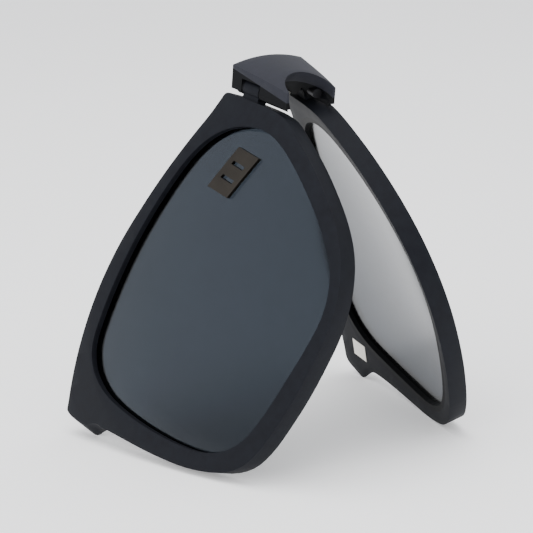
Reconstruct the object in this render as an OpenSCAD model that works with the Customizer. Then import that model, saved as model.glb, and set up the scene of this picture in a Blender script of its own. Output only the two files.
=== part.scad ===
// Folding clip-on sun lenses, standing like a tent on the floor.
// Two moulded rims hang from a bridge on two splayed hinge pins.
// The bridge's worn front faces up (+Z), its worn top points to +Y,
// and the wearer's right rim is on the -X side.

/* [Stance] */
// turn of each rim from the flat worn plane to the tent pose, degrees
fold_angle = 71; // [60:0.5:85]
// lean of the hinge plane when the clip stands on its rims, degrees
stand_lean = 10.736; // [0:0.001:20]
// height of the hinge centre above the floor, mm
hinge_height = 53.631; // [40:0.001:60]
// distance of the hinge centre along Y, mm
hinge_y = -0.468; // [-10:0.001:20]

/* [Hinge] */
// distance of each hinge pin from the centre plane, mm
pin_x = 3.8; // [3:0.1:5]
// splay of each pin, opening towards the worn top, degrees
pin_splay = 8.5; // [0:0.5:12]
// radius of the hinge pins, mm
pin_r = 0.75; // [0.5:0.05:1]
// running clearance of the pin in the rim's knuckle, mm
pin_gap = 0.05; // [0.02:0.01:0.1]
// outside radius of the knuckle, mm
knuckle_r = 1.25; // [1:0.05:1.5]
// start of the knuckle along the pin, mm
knuckle_y0 = 1.6; // [1:0.1:3]
// end of the knuckle along the pin, mm
knuckle_y1 = 5.0; // [4:0.1:6]
// thickness of a friction washer, mm
washer_t = 0.3; // [0.2:0.05:0.4]
// play between washer and knuckle, mm
washer_gap = 0.1; // [0.05:0.05:0.2]

/* [Bridge] */
// worn-bottom end of the bridge, mm
bridge_y0 = -5.0; // [-7:0.1:-3]
// worn-top end of the bridge, mm
bridge_y1 = 7.4; // [6:0.1:9]
// cover overhang outside the pin axis, mm
cover_side = 1.25; // [1:0.05:1.5]
// crease height of the cover at its worn-bottom end, mm
crease_z = 1.1; // [0.5:0.1:2]
// slope of the crease, degrees
crease_lean = 9.6; // [5:0.1:15]
// thickness of the cover at its edge, mm
cover_edge = 0.7; // [0.5:0.1:1.5]
// underside of the bridge below the pins, mm
seat_z = -1.3; // [-2:0.1:-1]
// radius of the nose saddle, mm
saddle_r = 4.0; // [3:0.1:5]

/* [Rims] */
// front base radius of rims and lenses, mm
base_r = 160; // [120:5:250]
// thickness of a rim, mm
rim_t = 3.0; // [2.5:0.1:4]
// height of the rim's crown above its hinge axis, mm
rim_rise = 5.6; // [5:0.1:7]
// depth of the lens face below the rim's front, mm
lens_recess = 1.0; // [0.6:0.1:1.5]
// thickness of a lens, mm
lens_t = 1.2; // [0.8:0.1:2]
// width of the lip that holds the lens, mm
lip = 0.9; // [0.6:0.1:1.2]

/* [Small parts] */
// width of an ear magnet, mm
magnet_w = 3; // [2:0.5:4]
// length of an ear magnet, mm
magnet_l = 4; // [3:0.5:5]
// slant of the ear tab's end, front to back, degrees
tab_slant = 26.3; // [0:0.1:35]
// thickness of an ear magnet, mm
magnet_t = 1.5; // [1:0.1:2]
// length of the badge, mm
badge_l = 7.6; // [6:0.1:9]
// height of the badge, mm
badge_h = 4.6; // [4:0.1:6]

/* [Hidden] */
$fn = 48;
slope = tan(pin_splay);
cx = 39;
cy = 1.5;
bore_r = pin_r + pin_gap;
pocket_y0 = knuckle_y0 - washer_t - washer_gap;
pocket_y1 = knuckle_y1 + washer_t + washer_gap;
pocket_r = 1.45;

// rim outline seen from the front: x away from the hinge, y to the worn top
rim_pts = [
    [1.75, 7.4], [2.1, 8.4], [3.2, 8.7], [6, 9.4], [9.5, 10.7], [16, 13],
    [22.7, 15.1], [29.3, 17], [36, 18.3], [42, 18.9], [48, 19], [53, 18.7],
    [56.4, 18.3], [58, 18.1], [58.9, 17.2], [59.4, 15.6], [59.9, 13.9],
    [60.1, 12.8], [59.7, 12.1], [58.9, 11.4], [58.1, 10.4], [57.4, 9.3],
    [57, 8], [56.7, 4], [56.5, 0],
    [56.1, -5.5], [55.3, -11.5], [53.6, -17.3], [51.2, -21], [48, -23.2],
    [44, -24.8], [38, -26.5], [32, -27.5], [27.5, -27.8], [23, -27.3],
    [19.5, -26.2], [16.3, -24.5], [13.2, -21.9], [10.2, -18.5],
    [7, -14.1], [4.6, -10], [2.6, -6.2], [1.9, -3.6], [1.7, -1], [1.7, 2],
    [1.7, 5]
];

// clear opening of the rim, same axes
opening_pts = [
    [5, -3], [5.2, 0], [6.2, 3.2], [8, 6], [10.8, 8.4], [15, 10.4],
    [22, 12.5], [29, 14.1], [36, 15.2], [42, 15.8], [46, 15.8],
    [49, 14.3], [51, 11.6], [52.2, 8], [52.8, 3], [53, -2], [52.8, -8],
    [52, -13.4], [50, -17.6], [47, -20.4], [42.5, -22.4], [37, -24],
    [31, -25.4], [26, -26], [21.5, -25.2], [18, -23.2], [14, -19.3],
    [10.6, -14.9], [7.6, -10.2], [5.7, -6.2]
];

// area cut away beyond the ear tab's front edge, in from its worn end
tab_cut = [
    [-0.63, 18.4], [-0.27, 17.6], [-0.04, 16.6], [0.04, 14.6], [0.1, 13.3],
    [0, 12.6], [-0.36, 11.9], [-0.76, 11], [-1, 10], [-1.05, 9.2],
    [-0.85, 8.2], [-0.5, 7.2], [4, 7.2], [4, 18.4]
];

bridge_cover();
bridge_core();
bridge_magnet();
right_hinge_pin();
left_hinge_pin();
right_washers();
left_washers();
right_rim();
left_rim();
right_lens();
left_lens();
right_lens_ring();
left_lens_ring();
right_ear_magnet();
left_ear_magnet();
lens_badge();

// ---- outline helpers ----

function wrap_i(i, n) = (i % n + n) % n;
function spline(a, b, c, d, t) = 0.5 * (2 * b + (c - a) * t
    + (2 * a - 5 * b + 4 * c - d) * t * t + (3 * b - a - 3 * c + d) * t * t * t);
function smooth(p, n = 3) = [for (i = [0:len(p) - 1], k = [0:n - 1])
    spline(p[wrap_i(i - 1, len(p))], p[i], p[wrap_i(i + 1, len(p))],
        p[wrap_i(i + 2, len(p))], k / n)];
function unit(v) = v / norm(v);
// points moved outwards by d, for an outline that runs clockwise
function grow(p, d) = [for (i = [0:len(p) - 1])
    let(t = unit(p[wrap_i(i + 1, len(p))] - p[wrap_i(i - 1, len(p))]))
    p[i] + d * [-t[1], t[0]]];

// ---- frames ----

// hinge frame: x across, y along the bridge, z towards the worn front
module at_bridge() {
    translate([0, hinge_y, hinge_height]) rotate([stand_lean, 0, 0]) children();
}

// pin frame of one side: y along the pin; side 1 is the wearer's left
module at_pin(side) {
    at_bridge() mirror([side < 0 ? 1 : 0, 0, 0])
        translate([pin_x, 0, 0]) rotate([0, 0, -pin_splay]) children();
}

// rim frame: x away from the hinge, y along the pin, z to the rim's front
module at_rim(side) {
    at_pin(side) rotate([0, fold_angle, 0]) children();
}

// ---- shared shapes ----

module ball(depth) {
    translate([cx, cy, rim_rise - base_r]) sphere(r = base_r - depth);
}

module prism(p) {
    translate([0, 0, -6]) linear_extrude(height = 14) polygon(p);
}

// layer of the curved rim between two depths
module layer(p, d0, d1) {
    difference() {
        intersection() {
            prism(p);
            ball(d0);
        }
        ball(d1);
    }
}

// frame standing on the curved surface at one point, z outwards
module on_shell(x, y) {
    b = asin((y - cy) / base_r);
    g = asin((x - cx) / (base_r * cos(b)));
    translate([cx, cy, rim_rise - base_r]) rotate([0, g, 0]) rotate([-b, 0, 0])
        translate([0, 0, base_r]) children();
}

module along_pin(r, y0, y1) {
    translate([0, y0, 0]) rotate([-90, 0, 0]) cylinder(r = r, h = y1 - y0);
}

// ---- rims ----

module rim_body() {
    difference() {
        union() {
            layer(smooth(rim_pts), 0, rim_t);
            along_pin(knuckle_r, knuckle_y0, knuckle_y1);
            translate([0, knuckle_y0, -1.05])
                cube([3, knuckle_y1 - knuckle_y0, 1.8]);
        }
        prism(smooth(opening_pts));
        intersection() {
            prism(grow(smooth(opening_pts), lip));
            ball(lens_recess);
        }
        along_pin(bore_r, knuckle_y0 - 1, knuckle_y1 + 1);
        on_shell(54.8, 13) translate([0, 0, magnet_t - rim_t - 2.1])
            cube([magnet_w, magnet_l, 4], center = true);
        translate([58.3, 0, 4]) rotate([0, -tab_slant, 0])
            translate([0, 0, -10]) linear_extrude(height = 16) polygon(tab_cut);
    }
}

module lens_body() {
    layer(grow(smooth(opening_pts), lip), lens_recess, lens_recess + lens_t);
}

module lens_ring_body() {
    difference() {
        layer(grow(smooth(opening_pts), lip), lens_recess + lens_t, rim_t);
        prism(smooth(opening_pts));
    }
}

module ear_magnet_body() {
    on_shell(54.8, 13) translate([0, 0, -rim_t + magnet_t / 2 - 0.1])
        cube([magnet_w, magnet_l, magnet_t], center = true);
}

module right_rim() {
    color("#35363b") at_rim(-1) rim_body();
}

module left_rim() {
    color("#35363b") at_rim(1) rim_body();
}

module right_lens() {
    color("#4a5560") at_rim(-1) lens_body();
}

module left_lens() {
    color("#4a5560") at_rim(1) lens_body();
}

module right_lens_ring() {
    color("#1c1d21") at_rim(-1) lens_ring_body();
}

module left_lens_ring() {
    color("#1c1d21") at_rim(1) lens_ring_body();
}

module right_ear_magnet() {
    color("#c9c7bf") at_rim(-1) ear_magnet_body();
}

module left_ear_magnet() {
    color("#c9c7bf") at_rim(1) ear_magnet_body();
}

// plain slanted plate with two slots, hugging the lens
module lens_badge() {
    s = 1.2;
    l = badge_l / 2;
    h = badge_h / 2;
    color("#5a554e") at_rim(-1) difference() {
        intersection() {
            translate([12.4, -0.2, 0]) rotate([0, 0, 20]) difference() {
                translate([0, 0, -4]) linear_extrude(height = 12)
                    polygon([[-l - s / 2, -h], [l - s / 2, -h], [l + s / 2, h],
                        [-l + s / 2, h]]);
                for (x = [-1.3, 1.3]) translate([x, 0, -5]) linear_extrude(height = 14)
                    polygon([[-0.65, -1.3], [0, -1.3], [0.65, 1.3], [0, 1.3]]);
            }
            ball(lens_recess - 0.6);
        }
        ball(lens_recess);
    }
}

// ---- bridge ----

// plan of the bridge, its sides parallel to the pins
module bridge_plan(side, y0, y1, z0, z1) {
    translate([0, 0, z0]) linear_extrude(height = z1 - z0) polygon([
        [-(pin_x + side + slope * y0), y0], [pin_x + side + slope * y0, y0],
        [pin_x + side + slope * y1, y1], [-(pin_x + side + slope * y1), y1]
    ]);
}

// everything under the cover's parting plane
module under_cover() {
    translate([0, bridge_y0, crease_z - cover_edge]) rotate([crease_lean, 0, 0])
        translate([-20, -20, -30]) cube([40, 60, 30]);
}

// slanted round notch at the worn-bottom end
module saddle() {
    translate([0, -6.7, 3.5]) rotate([-132.5, 0, 0]) translate([0, 0, -12])
        cylinder(r = saddle_r, h = 30, $fn = 96);
}

// room for both knuckles and their washers
module knuckle_room() {
    for (side = [-1, 1]) mirror([side < 0 ? 1 : 0, 0, 0])
        translate([pin_x, 0, 0]) rotate([0, 0, -pin_splay]) {
            along_pin(pocket_r, pocket_y0, pocket_y1);
            translate([0, pocket_y0, -4]) cube([6, pocket_y1 - pocket_y0, 4 + pocket_r]);
            translate([-pocket_r, pocket_y0, -4])
                cube([pocket_r + 6, pocket_y1 - pocket_y0, 4]);
        }
}

module bridge_cover() {
    color("#505157") at_bridge() difference() {
        intersection() {
            bridge_plan(cover_side, bridge_y0, bridge_y1, -2, 8);
            translate([0, -10.3, 3.15]) rotate([-135.8, 0, 0])
                cylinder(r1 = 0, r2 = 40 * tan(48.5), h = 40, $fn = 96);
        }
        under_cover();
        saddle();
        knuckle_room();
    }
}

module bridge_core() {
    color("#26272b") at_bridge() difference() {
        intersection() {
            union() {
                bridge_plan(0, bridge_y0, bridge_y1, seat_z, 5);
                bridge_plan(knuckle_r, bridge_y0, bridge_y1, -0.6, 5);
                for (side = [-1, 1]) mirror([side < 0 ? 1 : 0, 0, 0])
                    translate([pin_x, 0, 0]) rotate([0, 0, -pin_splay])
                    along_pin(knuckle_r, bridge_y0 + 0.6, bridge_y1 - 0.9);
            }
            under_cover();
            translate([-20, bridge_y0, -3]) cube([40, bridge_y1 - bridge_y0, 10]);
        }
        saddle();
        knuckle_room();
        for (side = [-1, 1]) mirror([side < 0 ? 1 : 0, 0, 0])
            translate([pin_x, 0, 0]) rotate([0, 0, -pin_splay])
            along_pin(pin_r, -4, 7.0);
        translate([-2, 3.4, seat_z - 1]) cube([4, 3, 2.2]);
    }
}

module bridge_magnet() {
    color("#c9c7bf") at_bridge() translate([-2, 3.4, seat_z]) cube([4, 3, 1.2]);
}

module hinge_pin() {
    along_pin(pin_r, -1.4, 7.0);
}

module right_hinge_pin() {
    color("#8d8f93") at_pin(-1) hinge_pin();
}

module left_hinge_pin() {
    color("#8d8f93") at_pin(1) hinge_pin();
}

// one friction washer at each end of the knuckle
module washers() {
    difference() {
        union() {
            along_pin(knuckle_r - 0.05, pocket_y0, pocket_y0 + washer_t);
            along_pin(knuckle_r - 0.05, pocket_y1 - washer_t, pocket_y1);
        }
        along_pin(pin_r, pocket_y0 - 1, pocket_y1 + 1);
    }
}

module right_washers() {
    color("#222326") at_pin(-1) washers();
}

module left_washers() {
    color("#222326") at_pin(1) washers();
}
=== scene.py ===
import bpy
import math
from mathutils import Matrix, Vector


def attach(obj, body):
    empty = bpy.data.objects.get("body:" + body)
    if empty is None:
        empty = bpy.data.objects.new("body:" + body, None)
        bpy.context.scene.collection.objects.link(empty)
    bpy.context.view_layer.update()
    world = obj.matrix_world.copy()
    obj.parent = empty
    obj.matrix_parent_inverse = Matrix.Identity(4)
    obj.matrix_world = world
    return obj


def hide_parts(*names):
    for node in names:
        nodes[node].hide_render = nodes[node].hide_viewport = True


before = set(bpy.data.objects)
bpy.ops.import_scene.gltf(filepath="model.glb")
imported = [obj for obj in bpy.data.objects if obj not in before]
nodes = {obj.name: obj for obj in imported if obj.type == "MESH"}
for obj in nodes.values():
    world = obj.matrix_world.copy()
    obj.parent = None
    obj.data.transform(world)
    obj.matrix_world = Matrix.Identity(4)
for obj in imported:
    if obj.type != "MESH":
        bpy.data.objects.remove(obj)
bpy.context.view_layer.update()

# ---------------------------------------------------------------- studio
# A pale sheet of paper under soft white light from above and from the left,
# seen through one long lens with a small roll.


def hex_colour(text):
    rgb = [int(text[i:i + 2], 16) / 255 for i in (1, 3, 5)]
    return tuple(c / 12.92 if c <= 0.04045 else ((c + 0.055) / 1.055) ** 2.4 for c in rgb) + (1.0,)


def add_node(tree, kind, settings=None, links=None):
    node = tree.nodes.new(kind)
    for key, value in (settings or {}).items():
        node.inputs[key].default_value = value
    for socket, source in (links or {}).items():
        tree.links.new(source, node.inputs[socket])
    return node


def new_material(name):
    material = bpy.data.materials.new(name)
    material.use_nodes = True
    material.node_tree.nodes.clear()
    return material, material.node_tree


floor_width = 3.0
floor_gap = 0.00005

bpy.ops.object.select_all(action="DESELECT")
bpy.ops.mesh.primitive_plane_add(size=floor_width, location=(0, 0, -floor_gap))
floor = bpy.context.object
floor.name = "paper_floor"
# matt white paper: bright, no gloss, with only a trace of tone in it
paper, tree = new_material("white paper")
place = add_node(tree, "ShaderNodeTexCoord")
mottle = add_node(
    tree, "ShaderNodeTexNoise", {"Scale": 3.0, "Detail": 2.0},
    {"Vector": place.outputs["Object"]})
tone = add_node(tree, "ShaderNodeValToRGB", None, {"Fac": mottle.outputs["Fac"]})
tone.color_ramp.elements[0].color = hex_colour("#f6f6f7")
tone.color_ramp.elements[1].color = hex_colour("#fbfbfb")
skin = add_node(
    tree, "ShaderNodeBsdfPrincipled",
    {"Roughness": 0.9, "Specular IOR Level": 0.1, "Emission Strength": 0.28},
    {"Base Color": tone.outputs["Color"], "Emission Color": tone.outputs["Color"]})
add_node(tree, "ShaderNodeOutputMaterial", None, {"Surface": skin.outputs["BSDF"]})
floor.data.materials.append(paper)

world = bpy.data.worlds.new("white room")
bpy.context.scene.world = world
world.use_nodes = True
room = world.node_tree.nodes["Background"]
room.inputs["Color"].default_value = (0.97, 0.98, 1.0, 1.0)
room.inputs["Strength"].default_value = 1.4

light_aim = Vector((0, 0, 0.03))


def soft_light(name, place, size, power):
    bpy.ops.object.light_add(type="AREA", location=place)
    lamp = bpy.context.object
    lamp.name = name
    lamp.data.shape = "DISK"
    lamp.data.size = size
    lamp.data.energy = power
    lamp.rotation_euler = (light_aim - Vector(place)).to_track_quat("-Z", "Y").to_euler()


soft_light("top_softbox", place=(-0.10, -0.05, 0.55), size=0.5, power=2.2)
soft_light("left_softbox", place=(-0.50, -0.25, 0.30), size=0.35, power=1.2)

camera_data = bpy.data.cameras.new("long_lens")
camera_data.sensor_width = 36.0
camera_data.lens = 135.1
camera_data.clip_start = 0.01
camera_data.clip_end = 20.0
camera = bpy.data.objects.new("long_lens", camera_data)
bpy.context.scene.collection.objects.link(camera)
camera_place = Vector((-0.1627, -0.25047, 0.0961))
azimuth = math.radians(-32.14)
elevation = math.radians(13.02)
roll = math.radians(-1.96)
back = Vector((
    math.sin(azimuth) * math.cos(elevation),
    -math.cos(azimuth) * math.cos(elevation),
    math.sin(elevation)))
level = Vector((math.cos(azimuth), math.sin(azimuth), 0.0))
upright = back.cross(level)
right = level * math.cos(roll) + upright * math.sin(roll)
up = upright * math.cos(roll) - level * math.sin(roll)
camera.matrix_world = Matrix((
    (right.x, up.x, back.x, camera_place.x),
    (right.y, up.y, back.y, camera_place.y),
    (right.z, up.z, back.z, camera_place.z),
    (0, 0, 0, 1)))
bpy.context.scene.camera = camera

# ---------------------------------------------------------------- moulded plastic
# Rims and bridge of nylon, injection moulded and left matte from the tool: a
# fine even grain and a broad soft sheen. The grain is drawn coarser than a
# real one, so that it shows.

clouds_per_metre = 700.0
grain_width = 0.00044
grain_height = 0.00004


def moulded_plastic(name, dark, light):
    material, tree = new_material(name)
    place = add_node(tree, "ShaderNodeTexCoord")
    cloud = add_node(
        tree, "ShaderNodeTexNoise",
        {"Scale": clouds_per_metre, "Detail": 4.0, "Roughness": 0.6},
        {"Vector": place.outputs["Object"]})
    body = add_node(tree, "ShaderNodeValToRGB", None, {"Fac": cloud.outputs["Fac"]})
    body.color_ramp.elements[0].position = 0.3
    body.color_ramp.elements[1].position = 0.7
    body.color_ramp.elements[0].color = hex_colour(dark)
    body.color_ramp.elements[1].color = hex_colour(light)
    pits = add_node(
        tree, "ShaderNodeTexNoise", {"Scale": 1 / grain_width, "Detail": 2.0},
        {"Vector": place.outputs["Object"]})
    shine = add_node(
        tree, "ShaderNodeMapRange", {"To Min": 0.52, "To Max": 0.62},
        {"Value": cloud.outputs["Fac"]})
    relief = add_node(
        tree, "ShaderNodeBump", {"Strength": 0.25, "Distance": grain_height},
        {"Height": pits.outputs["Fac"]})
    skin = add_node(
        tree, "ShaderNodeBsdfPrincipled", {"IOR": 1.5, "Specular IOR Level": 0.08},
        {"Base Color": body.outputs["Color"], "Roughness": shine.outputs["Result"],
         "Normal": relief.outputs["Normal"]})
    add_node(tree, "ShaderNodeOutputMaterial", None, {"Surface": skin.outputs["BSDF"]})
    return material


rim_plastic = moulded_plastic("matte moulded nylon, black", "#121318", "#16181d")
cover_plastic = moulded_plastic("matte moulded nylon, soft grey", "#27282e", "#2b2c33")
# the deep black serves the core and the washers, and on the lens rings, the rims' inner walls, it
# is painted shade
core_black_and_painted_shade = moulded_plastic("satin moulded nylon, deep black and painted shade", "#08090b", "#0b0c0f")

weld_distance = 0.00001
moulded_edge = 0.00035


def finish_node(name, material):
    data = nodes[name].data
    data.materials.clear()
    data.materials.append(material)


# a copy of one node, its corners merged and its edges eased
def eased_copy(node_name, body, width, material):
    bpy.ops.object.select_all(action="DESELECT")
    source = nodes[node_name]
    piece = bpy.data.objects.new(node_name + "_moulding", source.data.copy())
    bpy.context.scene.collection.objects.link(piece)
    piece.matrix_world = source.matrix_world.copy()
    piece.select_set(True)
    bpy.context.view_layer.objects.active = piece
    bpy.ops.object.transform_apply(location=True, rotation=True, scale=True)
    bpy.ops.object.mode_set(mode="EDIT")
    bpy.ops.mesh.select_all(action="SELECT")
    bpy.ops.mesh.remove_doubles(threshold=weld_distance)
    bpy.ops.object.mode_set(mode="OBJECT")
    ease = piece.modifiers.new("eased edges", "BEVEL")
    ease.width = width
    ease.segments = 3
    ease.limit_method = "ANGLE"
    ease.angle_limit = math.radians(38)
    ease.harden_normals = False
    bpy.ops.object.modifier_apply(modifier=ease.name)
    bpy.ops.object.shade_smooth_by_angle(angle=math.radians(35))
    piece.data.materials.clear()
    piece.data.materials.append(material)
    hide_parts(node_name)
    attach(piece, body)
    return piece


eased_copy("bridge_cover", "bridge", moulded_edge, cover_plastic)
finish_node("bridge_cover", cover_plastic)
finish_node("bridge_core", core_black_and_painted_shade)
# the lens rings are the rims' inner walls; their deeper black than the rims is painted shade
for name in ("right_lens_ring", "left_lens_ring"):
    finish_node(name, core_black_and_painted_shade)
for side in ("right", "left"):
    eased_copy(side + "_rim", side + "_frame", moulded_edge, rim_plastic)
    finish_node(side + "_rim", rim_plastic)

# ---------------------------------------------------------------- lenses
# Smoke grey lenses of one tint, pressed to a shallow bowl and polished, with a
# soft pale sheen. Index, roughness and sheen are matched to the object, and the
# index is lower than a real lens plastic's.
smoke, tree = new_material("polished smoke grey lens")
place = add_node(tree, "ShaderNodeTexCoord")
haze = add_node(
    tree, "ShaderNodeTexNoise", {"Scale": 40.0, "Detail": 3.0},
    {"Vector": place.outputs["Object"]})
tint = add_node(tree, "ShaderNodeValToRGB", None, {"Fac": haze.outputs["Fac"]})
tint.color_ramp.elements[0].color = hex_colour("#262b31")
tint.color_ramp.elements[1].color = hex_colour("#2a3037")
polish = add_node(
    tree, "ShaderNodeMapRange", {"To Min": 0.10, "To Max": 0.15},
    {"Value": haze.outputs["Fac"]})
skin = add_node(
    tree, "ShaderNodeBsdfPrincipled",
    {"IOR": 1.38, "Transmission Weight": 1.0, "Specular Tint": hex_colour("#c3cbd6")},
    {"Base Color": tint.outputs["Color"], "Roughness": polish.outputs["Result"]})
add_node(tree, "ShaderNodeOutputMaterial", None, {"Surface": skin.outputs["BSDF"]})

# centre of the sphere that the left lens is cut from, mirrored for the right one;
# the copies take their normals from it, so that each face shades as one bowl
bowl_centre = Vector((-0.12781, 0.03658, -0.02804))
polished_edge = 0.00008
facing_limit = 0.9

for side, sign in (("right", -1), ("left", 1)):
    lens = eased_copy(side + "_lens", side + "_frame", polished_edge, smoke)
    mesh = lens.data
    centre = Vector((bowl_centre.x * sign, bowl_centre.y, bowl_centre.z))
    normals = [Vector(n.vector) for n in mesh.corner_normals]
    for face in mesh.polygons:
        for corner in face.loop_indices:
            ray = (mesh.vertices[mesh.loops[corner].vertex_index].co - centre).normalized()
            facing = face.normal.dot(ray)
            if abs(facing) > facing_limit:
                normals[corner] = ray if facing > 0 else -ray
    mesh.normals_split_custom_set(normals)
    finish_node(side + "_lens", smoke)

# ---------------------------------------------------------------- small metal
# Nickel-plated magnets with a soft bright shine, dark turned steel pins and a
# dull gunmetal badge. The friction washers are of the core's black plastic.

stains_per_metre = 300.0
pit_depth = 0.00003


def small_metal(name, dull, bright, rough, grit):
    material, tree = new_material(name)
    place = add_node(tree, "ShaderNodeTexCoord")
    stain = add_node(
        tree, "ShaderNodeTexNoise", {"Scale": stains_per_metre, "Detail": 4.0},
        {"Vector": place.outputs["Object"]})
    body = add_node(tree, "ShaderNodeValToRGB", None, {"Fac": stain.outputs["Fac"]})
    body.color_ramp.elements[0].color = hex_colour(dull)
    body.color_ramp.elements[1].color = hex_colour(bright)
    pits = add_node(
        tree, "ShaderNodeTexNoise", {"Scale": 1.0 / grit, "Detail": 2.0},
        {"Vector": place.outputs["Object"]})
    relief = add_node(
        tree, "ShaderNodeBump", {"Strength": 0.15, "Distance": pit_depth},
        {"Height": pits.outputs["Fac"]})
    skin = add_node(
        tree, "ShaderNodeBsdfPrincipled", {"Metallic": 1.0, "Roughness": rough},
        {"Base Color": body.outputs["Color"], "Normal": relief.outputs["Normal"]})
    add_node(tree, "ShaderNodeOutputMaterial", None, {"Surface": skin.outputs["BSDF"]})
    return material


nickel = small_metal(
    "nickel-plated magnet", "#c4c1b8", "#dedbd3", rough=0.35, grit=0.0002)
steel = small_metal(
    "turned steel pin", "#2c2c2e", "#414144", rough=0.5, grit=0.0001)
gunmetal = small_metal(
    "dark gunmetal plate", "#2b2927", "#3f3b36", rough=0.42, grit=0.0002)
for name in ("bridge_magnet", "right_ear_magnet", "left_ear_magnet"):
    finish_node(name, nickel)
for name in ("right_hinge_pin", "left_hinge_pin"):
    finish_node(name, steel)
for name in ("right_washers", "left_washers"):
    finish_node(name, core_black_and_painted_shade)
finish_node("lens_badge", gunmetal)
